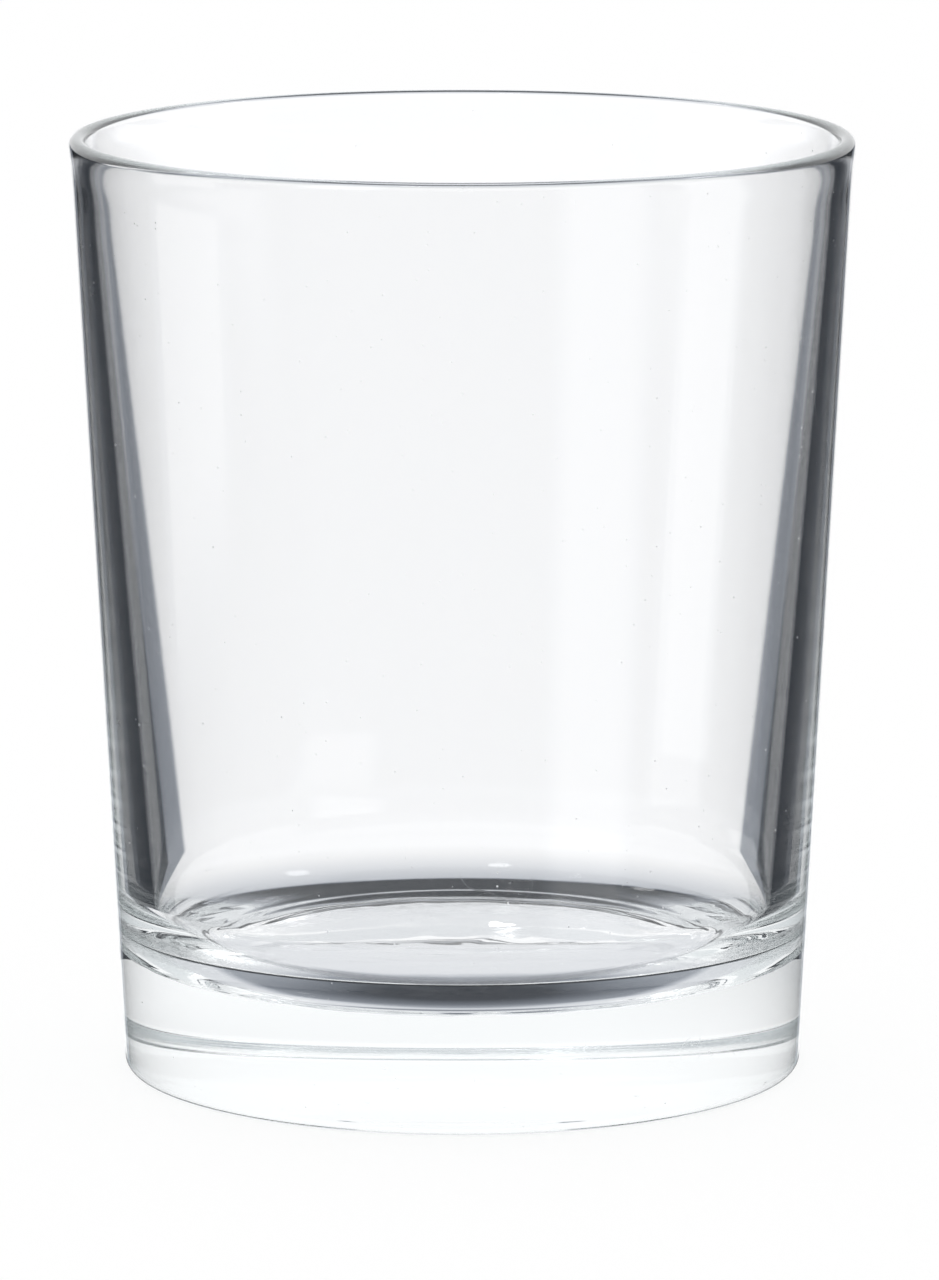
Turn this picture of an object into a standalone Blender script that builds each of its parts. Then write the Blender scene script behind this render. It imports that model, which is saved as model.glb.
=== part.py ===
# Water glass: a plain tapered tumbler, pressed in one piece of clear glass.
# Metres, +Z up. The origin is the middle of the foot, on the table.
import math

import bpy

# Overall sizes, with the outer wall carried straight to the top and to the table
HEIGHT = 0.0950
MOUTH_DIAMETER = 0.0787
FOOT_DIAMETER = 0.0686

# Glass thickness at the lip, beside the inner floor, and from the table to the inner floor
LIP_WALL = 0.0016
FLOOR_WALL = 0.0038
FLOOR_THICKNESS = 0.0108

# Rounded corners inside and at the heel
CORNER_RADIUS = 0.0090
HEEL_RADIUS = 0.0009

# Fire-polished lip: how far it swells outwards, and over what height the swelling fades
LIP_SWELL = 0.00017
LIP_SWELL_FADE = 0.0022

# Underside: flat ring that stands on the table, and the shallow dome within it
RING_WIDTH = 0.0055
RECESS_DEPTH = 0.0008

# Fineness of the turned shape
TURN_STEPS = 96
CORNER_STEPS = 11
LIP_STEPS = 10
HEEL_STEPS = 5
WALL_STEPS = 5
FADE_STEPS = 4
RECESS_STEPS = 6
MERGE_DISTANCE = 0.00001

# Glass colour and surface
GLASS_COLOUR = (0.93, 0.96, 0.95, 1.0)
GLASS_ROUGHNESS = 0.02
GLASS_IOR = 1.52

# Slopes of the two wall lines, and the level where the lip starts to turn over
OUTER_SLOPE = (MOUTH_DIAMETER - FOOT_DIAMETER) / 2 / HEIGHT
LIP_ROUND = (LIP_WALL + LIP_SWELL) / 2
LIP_LEVEL = HEIGHT - LIP_ROUND


def outer_line(z):
    return FOOT_DIAMETER / 2 + OUTER_SLOPE * z


INNER_MOUTH = outer_line(HEIGHT) - LIP_WALL
INNER_FOOT = outer_line(FLOOR_THICKNESS) - FLOOR_WALL
INNER_SLOPE = (INNER_MOUTH - INNER_FOOT) / (HEIGHT - FLOOR_THICKNESS)


def inner_line(z):
    return INNER_FOOT + INNER_SLOPE * (z - FLOOR_THICKNESS)


def outer_radius(z):
    return outer_line(z) + LIP_SWELL * math.exp(-(((LIP_LEVEL - z) / LIP_SWELL_FADE) ** 2))


def spread(start, end, steps):
    return [start + (end - start) * i / steps for i in range(steps + 1)]


def arc(centre, radius, start, end, steps):
    return [
        (centre[0] + radius * math.cos(a), centre[1] + radius * math.sin(a))
        for a in spread(start, end, steps)
    ]


def inside_points():
    # Middle of the floor, the round corner, then straight up to the lip
    tilt = math.atan(INNER_SLOPE)
    centre_z = FLOOR_THICKNESS + CORNER_RADIUS
    centre_r = inner_line(centre_z) - CORNER_RADIUS / math.cos(tilt)
    corner = arc((centre_r, centre_z), CORNER_RADIUS, -math.pi / 2, -tilt, CORNER_STEPS)
    wall = [(inner_line(z), z) for z in spread(corner[-1][1], LIP_LEVEL, WALL_STEPS)]
    return [(0.0, FLOOR_THICKNESS), (centre_r / 2, FLOOR_THICKNESS)] + corner + wall[1:]


def lip_points():
    # Half round from the inside of the wall over to the outside
    inner = inner_line(LIP_LEVEL)
    outer = outer_radius(LIP_LEVEL)
    middle = (inner + outer) / 2
    half = (outer - inner) / 2
    return [
        (middle + half * math.cos(a), LIP_LEVEL + LIP_ROUND * math.sin(a))
        for a in spread(math.pi, 0.0, LIP_STEPS)[1:]
    ]


def outside_points():
    # Down the swelling, down the straight wall and round the heel to the table
    tilt = math.atan(OUTER_SLOPE)
    fade_end = LIP_LEVEL - 2 * LIP_SWELL_FADE
    fade = [(outer_radius(z), z) for z in spread(LIP_LEVEL, fade_end, FADE_STEPS)]
    heel_r = outer_line(HEEL_RADIUS) - HEEL_RADIUS / math.cos(tilt)
    heel = arc((heel_r, HEEL_RADIUS), HEEL_RADIUS, -tilt, -math.pi / 2, HEEL_STEPS)
    wall = [(outer_radius(z), z) for z in spread(fade_end, heel[0][1], WALL_STEPS)]
    return fade[1:] + wall[1:-1] + heel


def underside_points(ring_outer):
    # Flat standing ring, then a shallow dome up to the middle
    edge = ring_outer - RING_WIDTH
    dome = (edge**2 + RECESS_DEPTH**2) / (2 * RECESS_DEPTH)
    return [
        (r, RECESS_DEPTH - dome + math.sqrt(dome**2 - r**2))
        for r in spread(edge, 0.0, RECESS_STEPS)
    ]


def glass_material():
    material = bpy.data.materials.new("clear_glass")
    material.use_nodes = True
    shader = material.node_tree.nodes["Principled BSDF"]
    shader.inputs["Base Color"].default_value = GLASS_COLOUR
    shader.inputs["Metallic"].default_value = 0.0
    shader.inputs["Roughness"].default_value = GLASS_ROUGHNESS
    shader.inputs["IOR"].default_value = GLASS_IOR
    shader.inputs["Transmission Weight"].default_value = 1.0
    return material


def turned(name, points, collection):
    mesh = bpy.data.meshes.new(name)
    edges = [(i, i + 1) for i in range(len(points) - 1)]
    mesh.from_pydata([(r, 0.0, z) for r, z in points], edges, [])
    piece = bpy.data.objects.new(name, mesh)
    collection.objects.link(piece)
    screw = piece.modifiers.new("Turn", "SCREW")
    screw.axis = "Z"
    screw.angle = 2 * math.pi
    screw.steps = TURN_STEPS
    screw.render_steps = TURN_STEPS
    screw.use_merge_vertices = True
    screw.merge_threshold = MERGE_DISTANCE
    screw.use_smooth_shade = True
    return piece


for old in list(bpy.data.objects):
    bpy.data.objects.remove(old, do_unlink=True)

parts = bpy.data.collections.new("Water glass")
bpy.context.scene.collection.children.link(parts)

profile = inside_points() + lip_points() + outside_points()
profile += underside_points(profile[-1][0])

# The whole glass is one turned body
tumbler = turned("tumbler", profile, parts)
tumbler.data.materials.append(glass_material())
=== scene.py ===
import math

import bpy
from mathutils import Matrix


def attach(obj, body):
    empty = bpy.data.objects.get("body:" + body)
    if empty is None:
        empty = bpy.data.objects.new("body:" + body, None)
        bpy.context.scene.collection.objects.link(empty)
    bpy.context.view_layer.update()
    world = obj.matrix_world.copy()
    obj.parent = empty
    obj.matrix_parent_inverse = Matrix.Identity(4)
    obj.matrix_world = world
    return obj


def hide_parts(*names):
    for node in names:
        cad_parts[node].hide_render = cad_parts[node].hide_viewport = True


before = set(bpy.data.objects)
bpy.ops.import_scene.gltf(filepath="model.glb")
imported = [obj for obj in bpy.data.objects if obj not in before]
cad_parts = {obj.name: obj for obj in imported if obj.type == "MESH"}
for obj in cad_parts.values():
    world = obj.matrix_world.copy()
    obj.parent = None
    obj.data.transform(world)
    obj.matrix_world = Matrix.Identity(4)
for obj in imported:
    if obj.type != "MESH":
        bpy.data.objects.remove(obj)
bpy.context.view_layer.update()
scene = bpy.context.scene
scene.view_settings.view_transform = "Standard"
bounceLimit = 48                        # light runs far inside thick glass
scene.cycles.max_bounces = bounceLimit
scene.cycles.glossy_bounces = bounceLimit
scene.cycles.transmission_bounces = bounceLimit
scene.cycles.blur_glossy = 0.0          # clear glass hardly shades the floor
print("frame loaded, nodes:", sorted(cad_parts))


# camera as the photograph has it
photoCamera = {
    "place": (0.0, -0.9067, 0.2055),
    "pitch": 10.131,    # degrees down
    "turn": 0.046,      # degrees to the right
    "lens": 255.8,
    "sensor": 36.0,
}


def addCamera():
    bpy.ops.object.camera_add(location=photoCamera["place"])
    camera = bpy.context.object
    camera.name = "photoCamera"
    camera.rotation_euler = (
        math.radians(90 - photoCamera["pitch"]), 0.0, -math.radians(photoCamera["turn"]))
    camera.data.lens = photoCamera["lens"]
    camera.data.sensor_width = photoCamera["sensor"]
    scene.camera = camera
    print("camera placed")


# the glass, in metres
tumblerSizes = {
    "height": 0.0950,
    "mouthRadius": 0.03935,     # outer wall carried up to the top
    "footRadius": 0.03430,      # outer wall carried down to the table
    "lipWall": 0.0016,
    "floorWall": 0.0038,
    "floorLevel": 0.0108,
    "cornerWidth": 0.0090,
    "cornerHeight": 0.0090,
    "rippleHeight": 0.000040,   # mould ripples round the corner
    "ripplePitch": 0.0015,
    "rippleEnd": 0.45,          # share of the corner that has them
    "secondRipple": (0.5, 1.73, 1.0),   # height and pace against the first, and start
    "waveHeight": 0.000220,     # uneven floor
    "wavePitch": 0.0050,
    "waveDetail": 1,
    "waveBand": (-0.0010, 0.0006),      # below and above the floor's level
    "wavePast": 0.0005,         # and this far past the inner wall's line
    "heelRadius": 0.0009,
    "lipSwell": 0.00017,
    "swellFade": 0.0022,
    "swellReach": 2.5,          # in fades, before the wall is straight
    "ringWidth": 0.0055,
    "recessDepth": 0.0008,
    "startSize": 0.001,         # plane that shrinks to the first point
    "mergeDistance": 0.000001,
    "turnSteps": 320,
    "floorCuts": 23,
    "cornerSteps": 72,
    "lipSteps": 20,
    "swellSteps": 10,
    "heelSteps": 12,
    "wallCuts": 10,
    "ringCuts": 6,
    "domeSteps": 20,
}


def drawTo(start, end, cuts):
    # extrudes the profile's end in even steps
    steps = cuts + 1
    step = ((end[0] - start[0]) / steps, 0.0, (end[1] - start[1]) / steps)
    for i in range(steps):
        bpy.ops.mesh.extrude_vertices_move(TRANSFORM_OT_translate={"value": step})
    return end


def turnAbout(start, centre, angle, steps):
    # spins the profile's end round a corner, clockwise for a positive angle
    bpy.ops.mesh.spin(
        steps=steps, angle=-angle, center=(centre[0], 0.0, centre[1]), axis=(0.0, 1.0, 0.0))
    r, z = start[0] - centre[0], start[1] - centre[1]
    c, s = math.cos(angle), math.sin(angle)
    return (centre[0] + r * c + z * s, centre[1] - r * s + z * c)


def makeTumbler():
    size = tumblerSizes
    outerSlope = (size["mouthRadius"] - size["footRadius"]) / size["height"]
    innerMouth = size["mouthRadius"] - size["lipWall"]
    innerFoot = size["footRadius"] + outerSlope * size["floorLevel"] - size["floorWall"]
    innerSlope = (innerMouth - innerFoot) / (size["height"] - size["floorLevel"])
    innerTilt, outerTilt = math.atan(innerSlope), math.atan(outerSlope)

    def outerLine(z):
        return size["footRadius"] + outerSlope * z

    def innerLine(z):
        return innerFoot + innerSlope * (z - size["floorLevel"])

    lipRadius = (size["lipWall"] + size["lipSwell"]) / 2
    lipLevel = size["height"] - lipRadius
    lipCentre = (innerLine(lipLevel) + lipRadius / math.cos(innerTilt), lipLevel)

    # one point at the middle of the inner floor
    bpy.ops.object.select_all(action="DESELECT")
    bpy.ops.mesh.primitive_plane_add(size=size["startSize"])
    tumbler = bpy.context.object
    tumbler.name = tumbler.data.name = "tumblerGlass"
    mesh = tumbler.data
    bpy.ops.object.mode_set(mode="EDIT")
    bpy.ops.mesh.select_mode(type="VERT")
    bpy.ops.mesh.select_all(action="SELECT")
    bpy.ops.mesh.merge(type="CENTER")
    bpy.ops.transform.translate(value=(0.0, 0.0, size["floorLevel"]))
    tip = (0.0, size["floorLevel"])

    # floor, round corner with its ripples, and inner wall
    wide, tall = size["cornerWidth"], size["cornerHeight"]
    cornerEnd = -math.atan(innerSlope * tall / wide)
    cornerZ = size["floorLevel"] + tall
    cornerR = innerLine(cornerZ + tall * math.sin(cornerEnd)) - wide * math.cos(cornerEnd)
    tip = drawTo(tip, (cornerR, size["floorLevel"]), size["floorCuts"])
    sweep = cornerEnd + math.pi / 2
    secondHeight, secondPace, secondStart = size["secondRipple"]
    for i in range(size["cornerSteps"]):
        part = (i + 1) / size["cornerSteps"]
        turn = -math.pi / 2 + sweep * part
        along = 2 * math.pi * sweep * part * wide / size["ripplePitch"]
        wave = math.sin(along) + secondHeight * math.sin(secondPace * along + secondStart)
        fade = math.sin(math.pi * min(part / size["rippleEnd"], 1.0)) ** 2
        lift = size["rippleHeight"] * wave * fade
        tip = drawTo(tip, (
            cornerR + (wide - lift) * math.cos(turn), cornerZ + (tall - lift) * math.sin(turn)), 0)
    lipStart = (
        lipCentre[0] - lipRadius * math.cos(innerTilt), lipLevel + lipRadius * math.sin(innerTilt))
    tip = drawTo(tip, lipStart, size["wallCuts"])

    # over the lip, down its swelling and the outer wall
    tip = turnAbout(tip, lipCentre, math.pi - innerTilt + outerTilt, size["lipSteps"])
    swell = tip[0] - outerLine(tip[1])
    swellTop = tip[1]
    for i in range(size["swellSteps"]):
        z = swellTop - size["swellReach"] * size["swellFade"] * (i + 1) / size["swellSteps"]
        fade = math.exp(-((swellTop - z) / size["swellFade"]) ** 2)
        tip = drawTo(tip, (outerLine(z) + swell * fade, z), 0)
    heelR = outerLine(size["heelRadius"]) - size["heelRadius"] / math.cos(outerTilt)
    heelStart = (
        heelR + size["heelRadius"] * math.cos(outerTilt),
        size["heelRadius"] - size["heelRadius"] * math.sin(outerTilt))
    tip = drawTo(tip, heelStart, size["wallCuts"])

    # heel, standing ring and the dome under the base
    tip = turnAbout(tip, (heelR, size["heelRadius"]), math.pi / 2 - outerTilt, size["heelSteps"])
    ringEdge = heelR - size["ringWidth"]
    tip = drawTo(tip, (ringEdge, 0.0), size["ringCuts"])
    domeRadius = (ringEdge ** 2 + size["recessDepth"] ** 2) / (2 * size["recessDepth"])
    domeAngle = math.asin(ringEdge / domeRadius)
    turnAbout(tip, (0.0, size["recessDepth"] - domeRadius), -domeAngle, size["domeSteps"])

    # full turn round the axis
    bpy.ops.mesh.select_all(action="SELECT")
    bpy.ops.mesh.spin(
        steps=size["turnSteps"], angle=2 * math.pi, center=(0.0, 0.0, 0.0), axis=(0.0, 0.0, 1.0))
    bpy.ops.mesh.select_all(action="SELECT")
    bpy.ops.mesh.remove_doubles(threshold=size["mergeDistance"])
    bpy.ops.mesh.normals_make_consistent(inside=False)
    bpy.ops.mesh.select_all(action="DESELECT")
    bpy.ops.object.mode_set(mode="OBJECT")
    bpy.ops.object.shade_smooth()
    print("tumbler turned, faces:", len(mesh.polygons))

    # the pressed floor is not quite even
    lowest, highest = (size["floorLevel"] + part for part in size["waveBand"])
    for corner in mesh.vertices:
        reach = math.hypot(corner.co.x, corner.co.y)
        inside = reach < innerLine(corner.co.z) + size["wavePast"]
        corner.select = inside and lowest < corner.co.z < highest
    bpy.ops.object.mode_set(mode="EDIT")
    bpy.ops.object.vertex_group_assign_new()
    bpy.ops.object.mode_set(mode="OBJECT")
    tumbler.vertex_groups[-1].name = "pressedFloor"
    waves = bpy.data.textures.new("floorWaves", "CLOUDS")
    waves.noise_scale = size["wavePitch"]
    waves.noise_depth = size["waveDetail"]
    uneven = tumbler.modifiers.new("uneven", "DISPLACE")
    uneven.texture = waves
    uneven.texture_coords = "LOCAL"
    uneven.vertex_group = "pressedFloor"
    uneven.strength = size["waveHeight"]
    bpy.ops.object.modifier_apply(modifier="uneven")
    print("floor pressed")
    return tumbler


def addNode(tree, kind, **values):
    node = tree.nodes.new(kind)
    for key, value in values.items():
        setattr(node, key, value)
    return node


def fill(tree, socket, value):
    # a number or colour stays on the socket, an output is linked to it
    if isinstance(value, (int, float, tuple)):
        socket.default_value = value
    else:
        tree.links.new(value, socket)


def calc(tree, operation, *inputs):
    node = addNode(tree, "ShaderNodeMath", operation=operation)
    for socket, value in zip(node.inputs, inputs):
        fill(tree, socket, value)
    return node.outputs[0]


def mapped(tree, value, low, start, high, end, kind="LINEAR"):
    # from start at low to end at high
    node = addNode(tree, "ShaderNodeMapRange", interpolation_type=kind)
    for name, number in zip(
            ("Value", "From Min", "To Min", "From Max", "To Max"), (value, low, start, high, end)):
        fill(tree, node.inputs[name], number)
    return node.outputs[0]


def blend(tree, factor, first, second):
    node = addNode(tree, "ShaderNodeMix", data_type="FLOAT")
    for name, value in zip(("Factor", "A", "B"), (factor, first, second)):
        fill(tree, node.inputs[name], value)
    return node.outputs[0]


def tinted(tree, factor, first, second):
    # the colour sockets of this node go by number
    node = addNode(tree, "ShaderNodeMix", data_type="RGBA")
    for key, value in zip((0, 6, 7), (factor, first, second)):
        fill(tree, node.inputs[key], value)
    return node.outputs[2]


def places(tree, kind):
    # coordinates, whole and as x, y and z
    whole = addNode(tree, "ShaderNodeTexCoord").outputs[kind]
    split = addNode(tree, "ShaderNodeSeparateXYZ")
    tree.links.new(whole, split.inputs[0])
    return whole, split.outputs[0], split.outputs[1], split.outputs[2]


def fromAxis(tree, x, y):
    return calc(tree, "SQRT", calc(
        tree, "ADD", calc(tree, "MULTIPLY", x, x), calc(tree, "MULTIPLY", y, y)))


# clear soda-lime glass; tones are given as place, roughness, place, roughness
glassFinish = {
    "colour": (1.0, 1.0, 1.0, 1.0),
    "ior": 1.52,
    "depthColour": (0.90, 0.95, 0.94, 1.0),
    "depthDensity": 5.0,
    "filmScale": 60.0,          # faint film left by washing
    "filmDetail": 2.0,
    "filmTones": (0.50, 0.0, 0.75, 0.010),
    "wallTones": (0.021, 0.0, 0.027, 0.030),        # handling dulls the wall, not the base
    "hairLevel": 0.62,          # hair lines from use, along one level of the film
    "hairTones": (0.0, 0.12, 0.0016, 0.0),
    "speckScale": 900.0,        # dust
    "speckShare": 0.08,
    "speckTones": (0.066, 0.6, 0.11, 0.0),
    "scuffTones": (0.30, 0.06, 0.60, 0.26),         # worn ring under the foot
    "scuffEdge": 0.0279,
    "scuffTop": 0.0003,
    "grainScale": 520.0,        # fine grain of the surface
    "grainDetail": 1.0,
    "grainDepth": 0.0000004,
    "waveScale": 60.0,          # pressed glass is never quite flat
    "waveDetail": 0.0,
    "waveDepth": 0.000010,
}


def makeGlass():
    finish = glassFinish
    glass = bpy.data.materials.new("clearGlass")
    glass.use_nodes = True
    tree = glass.node_tree
    link = tree.links.new
    shader = tree.nodes["Principled BSDF"]
    output = tree.nodes["Material Output"]
    shader.inputs["Base Color"].default_value = finish["colour"]
    shader.inputs["IOR"].default_value = finish["ior"]
    shader.inputs["Transmission Weight"].default_value = 1.0
    depth = addNode(tree, "ShaderNodeVolumeAbsorption")
    depth.inputs["Color"].default_value = finish["depthColour"]
    depth.inputs["Density"].default_value = finish["depthDensity"]
    link(depth.outputs["Volume"], output.inputs["Volume"])
    place, x, y, z = places(tree, "Object")

    def noise(scale, detail):
        node = addNode(tree, "ShaderNodeTexNoise")
        link(place, node.inputs["Vector"])
        node.inputs["Scale"].default_value = scale
        node.inputs["Detail"].default_value = detail
        return node.outputs["Fac"]

    # roughness: film, handled wall, hair lines, dust and the worn ring
    cloud = noise(finish["filmScale"], finish["filmDetail"])
    grain = noise(finish["grainScale"], finish["grainDetail"])
    film = mapped(tree, cloud, *finish["filmTones"])
    handled = mapped(tree, z, *finish["wallTones"])
    toHair = calc(tree, "ABSOLUTE", calc(tree, "SUBTRACT", cloud, finish["hairLevel"]))
    hair = mapped(tree, toHair, *finish["hairTones"])
    dust = addNode(tree, "ShaderNodeTexVoronoi", feature="F1")
    link(place, dust.inputs["Vector"])
    dust.inputs["Scale"].default_value = finish["speckScale"]
    lot = addNode(tree, "ShaderNodeSeparateColor")
    link(dust.outputs["Color"], lot.inputs[0])
    chosen = calc(tree, "LESS_THAN", lot.outputs[0], finish["speckShare"])
    specks = calc(
        tree, "MULTIPLY", chosen, mapped(tree, dust.outputs["Distance"], *finish["speckTones"]))
    ring = calc(
        tree, "MULTIPLY",
        calc(tree, "GREATER_THAN", fromAxis(tree, x, y), finish["scuffEdge"]),
        calc(tree, "LESS_THAN", z, finish["scuffTop"]))
    rough = calc(tree, "MULTIPLY", ring, mapped(tree, grain, *finish["scuffTones"]))
    for layer in (film, handled, hair, specks):
        rough = calc(tree, "MAXIMUM", rough, layer)
    link(rough, shader.inputs["Roughness"])

    # bump: slow waves of the pressing, fine grain, both in metres
    waves = noise(finish["waveScale"], finish["waveDetail"])
    relief = calc(
        tree, "ADD",
        calc(tree, "MULTIPLY", waves, finish["waveDepth"]),
        calc(tree, "MULTIPLY", grain, finish["grainDepth"]))
    bump = addNode(tree, "ShaderNodeBump")
    bump.inputs["Strength"].default_value = 1.0
    bump.inputs["Distance"].default_value = 1.0
    link(relief, bump.inputs["Height"])
    link(bump.outputs[0], shader.inputs["Normal"])
    print("glass mixed")
    return glass


# pale floor and the light tent round it; angles in degrees, azimuth 0 is straight behind the glass
studio = {
    "floorSize": 8.0,
    "floorColour": (0.97, 0.97, 0.97, 1.0),
    "tentLevel": 1.03,          # what lights the floor
    "backLevel": 1.0,           # what the camera sees behind the floor
    "tentWall": 1.12,           # what the glass shows above the horizon
    "backWall": 0.90,           # and there towards the camera
    "wallTurn": (70.0, 95.0),   # azimuths between the two
    "horizon": (-3.5, -1.5),    # elevations where the wall starts
    "backHorizon": (10.0, 16.0),        # and where it starts towards the camera
    "horizonTurn": (105.0, 120.0),
    "ceiling": 0.80,
    "ceilingStart": (40.0, 60.0),
    "surround": 0.044,          # dark flags below the horizon
    "flagEnd": (-42.0, -34.0),
    "panels": [                 # azimuth, half width, soft edge, lowest, highest, level
        (0.0, 12.7, 0.6, -90.0, 5.0, 1.18),
        (0.0, 17.9, 0.6, -90.0, 5.0, 0.40),
        (-90.0, 12.7, 0.6, -14.0, 5.0, 1.18),
        (-90.0, 16.0, 0.6, -14.0, 5.0, 0.40),
        (-45.0, 12.7, 0.6, -48.0, -22.0, 1.18),
        (-45.0, 16.0, 0.6, -48.0, -22.0, 0.40),
    ],
    "panelEdge": 1.0,           # soft edge at top and bottom
    "farPanel": (135.0, 14.0, 5.0, -40.0, -9.0, 1.10),
    "farShine": 0.2,            # share of that panel in reflections
    "tableShadeTones": (-50.0, -26.0, 0.44, 1.10),       # painted table behind the glass, with painted shade in steep views and pale in shallow ones
    "steepEnd": (-44.0, -42.4),         # below this the glass shows the painted shade under it
    "stripeShadeTones": (0.14, 0.036, 0.42, 0.55),       # across the painted shade, middle to sides
    "below": (-71.0, -62.0),    # and further down it is pale again
    "belowTone": 0.80,
    "lamps": [                  # azimuth, elevation, radius, level
        (-148.0, 72.0, 3.0, 6.0),
        (80.0, 47.0, 4.0, 6.0),
        (-46.0, 48.0, 3.0, 6.0),
    ],
    "lampEdge": (0.8, 1.2),     # in radii
    "darkTint": (0.73, 0.83, 1.0, 1.0),
    "lightTint": (0.982, 0.988, 1.0, 1.0),
}


def makeFloor():
    bpy.ops.object.select_all(action="DESELECT")
    bpy.ops.mesh.primitive_plane_add(size=studio["floorSize"])
    floor = bpy.context.object
    floor.name = "floor"
    floor.visible_glossy = False
    floor.visible_transmission = False
    pale = bpy.data.materials.new("paleFloor")
    pale.use_nodes = True
    shader = pale.node_tree.nodes["Principled BSDF"]
    shader.inputs["Base Color"].default_value = studio["floorColour"]
    shader.inputs["Roughness"].default_value = 1.0
    shader.inputs["Specular IOR Level"].default_value = 0.0
    floor.data.materials.append(pale)
    print("floor laid")


# card under and round the foot that only the glass shows, painted with the shade under the glass,
# a painted contact shadow and painted light round it; tones are place, level, place, level
paintedFootCard = {
    "radius": 0.085,
    "corners": 96,
    "depth": 0.0005,
    "contactShadowStart": (0.0334, 0.0, 0.0337, 1.0),     # painted contact shadow, a dark ring where the foot stands
    "contactShadowEnd": (0.0350, 0.0, 0.0362, 1.0),
    "contactShadowLevel": 0.03,
    "underTones": [             # painted shade under the glass, by slope of the view, 0 is straight down and 1 is grazing
        (0.00, 0.055), (0.05, 0.065), (0.12, 0.14), (0.27, 0.27),
        (0.40, 0.32), (0.50, 0.62), (0.58, 0.74), (1.0, 0.78)],
    "sideTones": (0.008, 0.0, 0.026, 0.38),         # painted shade under the foot, lighter towards the sides
    "frontTones": (-0.018, 0.0, -0.012, 0.78),      # and painted pale light behind the front part
    "skirtLightTones": (-0.05, 0.93, 0.02, 1.14),        # painted white light of the skirt, from one side to the other
    "skirtLightSlope": (0.79, 1.0, 0.83, 0.0),           # only grazing views see it
}


def makePaintedFootCard():
    bpy.ops.object.select_all(action="DESELECT")
    bpy.ops.mesh.primitive_circle_add(
        vertices=paintedFootCard["corners"], radius=paintedFootCard["radius"], fill_type="NGON",
        location=(0.0, 0.0, -paintedFootCard["depth"]))
    card = bpy.context.object
    card.name = "paintedFootCard"
    card.visible_camera = card.visible_diffuse = card.visible_shadow = False
    paint = bpy.data.materials.new("paintedFootLightAndShade")
    paint.use_nodes = True
    tree = paint.node_tree
    tree.nodes.clear()
    link = tree.links.new
    x, y = places(tree, "Object")[1:3]
    reach = fromAxis(tree, x, y)

    # painted shade under the foot, by slope and place
    slope = addNode(tree, "ShaderNodeLayerWeight").outputs["Facing"]
    tones = addNode(tree, "ShaderNodeValToRGB")
    points = tones.color_ramp.elements
    while len(points) < len(paintedFootCard["underTones"]):
        points.new(0.5)
    for point, (position, level) in zip(points, paintedFootCard["underTones"]):
        point.position = position
        point.color = (level, level, level, 1.0)
    link(slope, tones.inputs["Fac"])
    side = mapped(tree, calc(tree, "ABSOLUTE", x), *paintedFootCard["sideTones"])
    front = mapped(tree, y, *paintedFootCard["frontTones"])
    under = calc(tree, "MAXIMUM", calc(tree, "MAXIMUM", tones.outputs["Color"], side), front)

    # then the painted contact shadow ring, then the painted light of the skirt, which is clear in
    # steep views
    contact = mapped(tree, reach, *paintedFootCard["contactShadowStart"])
    outside = mapped(tree, reach, *paintedFootCard["contactShadowEnd"])
    level = blend(tree, contact, under, paintedFootCard["contactShadowLevel"])
    level = blend(tree, outside, level, mapped(tree, x, *paintedFootCard["skirtLightTones"]))
    clear = calc(tree, "MULTIPLY", outside, mapped(tree, slope, *paintedFootCard["skirtLightSlope"]))

    light = addNode(tree, "ShaderNodeEmission")
    link(tinted(tree, level, studio["darkTint"], studio["lightTint"]), light.inputs["Color"])
    link(level, light.inputs["Strength"])
    nothing = addNode(tree, "ShaderNodeBsdfTransparent")
    mix = addNode(tree, "ShaderNodeMixShader")
    link(clear, mix.inputs[0])
    link(light.outputs[0], mix.inputs[1])
    link(nothing.outputs[0], mix.inputs[2])
    output = addNode(tree, "ShaderNodeOutputMaterial")
    link(mix.outputs[0], output.inputs["Surface"])
    card.data.materials.append(paint)
    print("foot card laid")


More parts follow.
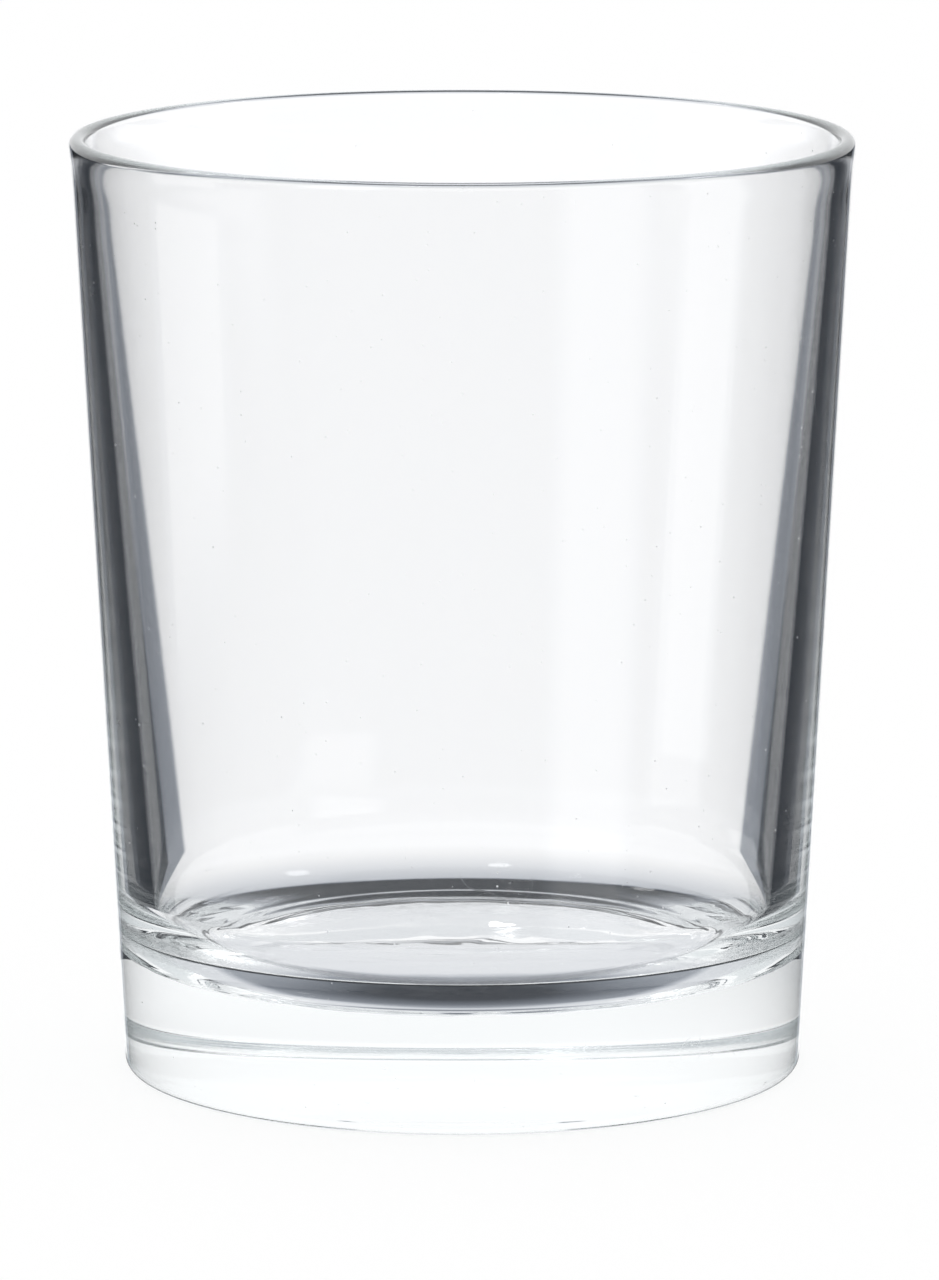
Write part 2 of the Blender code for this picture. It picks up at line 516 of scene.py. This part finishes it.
def makeTent():
    world = bpy.data.worlds.new("tent")
    scene.world = world
    world.use_nodes = True
    tree = world.node_tree
    tree.nodes.clear()
    link = tree.links.new
    path = addNode(tree, "ShaderNodeLightPath")
    heading, x, y, z = places(tree, "Generated")
    azimuth = calc(tree, "ARCTAN2", x, y)
    elevation = calc(tree, "ARCSINE", z)
    aside = calc(tree, "ABSOLUTE", azimuth)

    def ramp(value, low, high, start=0.0, end=1.0, kind="SMOOTHSTEP"):
        # from start at low to end at high, in degrees
        return mapped(tree, value, math.radians(low), start, math.radians(high), end, kind)

    def lightPanel(turn, half, soft, bottom, top, bright):
        edge = studio["panelEdge"]
        off = calc(tree, "SUBTRACT", azimuth, math.radians(turn))
        off = calc(tree, "ABSOLUTE", calc(tree, "WRAP", off, math.pi, -math.pi))
        panel = ramp(off, half - soft, half + soft, bright, 0.0)
        panel = calc(tree, "MULTIPLY", panel, ramp(elevation, top - edge, top + edge, 1.0, 0.0))
        return calc(tree, "MULTIPLY", panel, ramp(elevation, bottom - edge, bottom + edge))

    # below the horizon: pale panels between dark flags, then the painted table with its painted
    # shade, then the painted shade under the glass
    through = calc(tree, "MAXIMUM", path.outputs["Is Transmission Ray"], studio["farShine"])
    bands = calc(tree, "MULTIPLY", lightPanel(*studio["farPanel"]), through)
    bands = calc(tree, "MAXIMUM", studio["surround"], bands)
    for panel in studio["panels"]:
        bands = calc(tree, "MAXIMUM", bands, lightPanel(*panel))
    paintedTable = ramp(elevation, *studio["tableShadeTones"], "LINEAR")
    bands = calc(tree, "MINIMUM", bands, paintedTable)
    low = blend(tree, ramp(elevation, *studio["flagEnd"]), paintedTable, bands)
    shadeStripe = mapped(tree, calc(tree, "ABSOLUTE", x), *studio["stripeShadeTones"])
    low = blend(tree, ramp(elevation, *studio["steepEnd"]), shadeStripe, low)
    low = blend(tree, ramp(elevation, *studio["below"]), studio["belowTone"], low)

    # above it: wall, ceiling and small lamps
    wall = ramp(aside, *studio["wallTurn"], studio["tentWall"], studio["backWall"])
    high = blend(tree, ramp(elevation, *studio["ceilingStart"]), wall, studio["ceiling"])
    edgeStart, edgeEnd = studio["lampEdge"]
    for turn, tilt, radius, bright in studio["lamps"]:
        turn, tilt = math.radians(turn), math.radians(tilt)
        toLamp = addNode(tree, "ShaderNodeVectorMath", operation="DOT_PRODUCT")
        link(heading, toLamp.inputs[0])
        toLamp.inputs[1].default_value = (
            math.cos(tilt) * math.sin(turn), math.cos(tilt) * math.cos(turn), math.sin(tilt))
        off = calc(tree, "ARCCOSINE", toLamp.outputs["Value"])
        lamp = ramp(off, radius * edgeStart, radius * edgeEnd, bright, 0.0)
        high = calc(tree, "MAXIMUM", high, lamp)
    horizon = blend(
        tree, ramp(aside, *studio["horizonTurn"]),
        ramp(elevation, *studio["horizon"]), ramp(elevation, *studio["backHorizon"]))
    level = blend(tree, horizon, low, high)

    # only the glass shows all this; the floor and the camera get a plain white tent
    inGlass = calc(
        tree, "MAXIMUM", path.outputs["Is Glossy Ray"], path.outputs["Is Transmission Ray"])
    fromCamera = calc(tree, "LESS_THAN", path.outputs["Diffuse Depth"], 0.5)
    inGlass = calc(tree, "MULTIPLY", inGlass, fromCamera)
    plain = blend(
        tree, path.outputs["Is Camera Ray"], studio["tentLevel"], studio["backLevel"])
    background = addNode(tree, "ShaderNodeBackground")
    link(blend(tree, inGlass, plain, level), background.inputs["Strength"])
    pale = calc(tree, "MAXIMUM", level, calc(tree, "SUBTRACT", 1.0, inGlass))
    tint = tinted(tree, pale, studio["darkTint"], studio["lightTint"])
    link(tinted(tree, inGlass, (1.0, 1.0, 1.0, 1.0), tint), background.inputs["Color"])
    output = addNode(tree, "ShaderNodeOutputWorld")
    link(background.outputs[0], output.inputs["Surface"])
    print("tent lit")


addCamera()
tumbler = makeTumbler()
tumbler.data.materials.append(makeGlass())
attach(tumbler, "root")
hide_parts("tumbler")
makeFloor()
makePaintedFootCard()
makeTent()
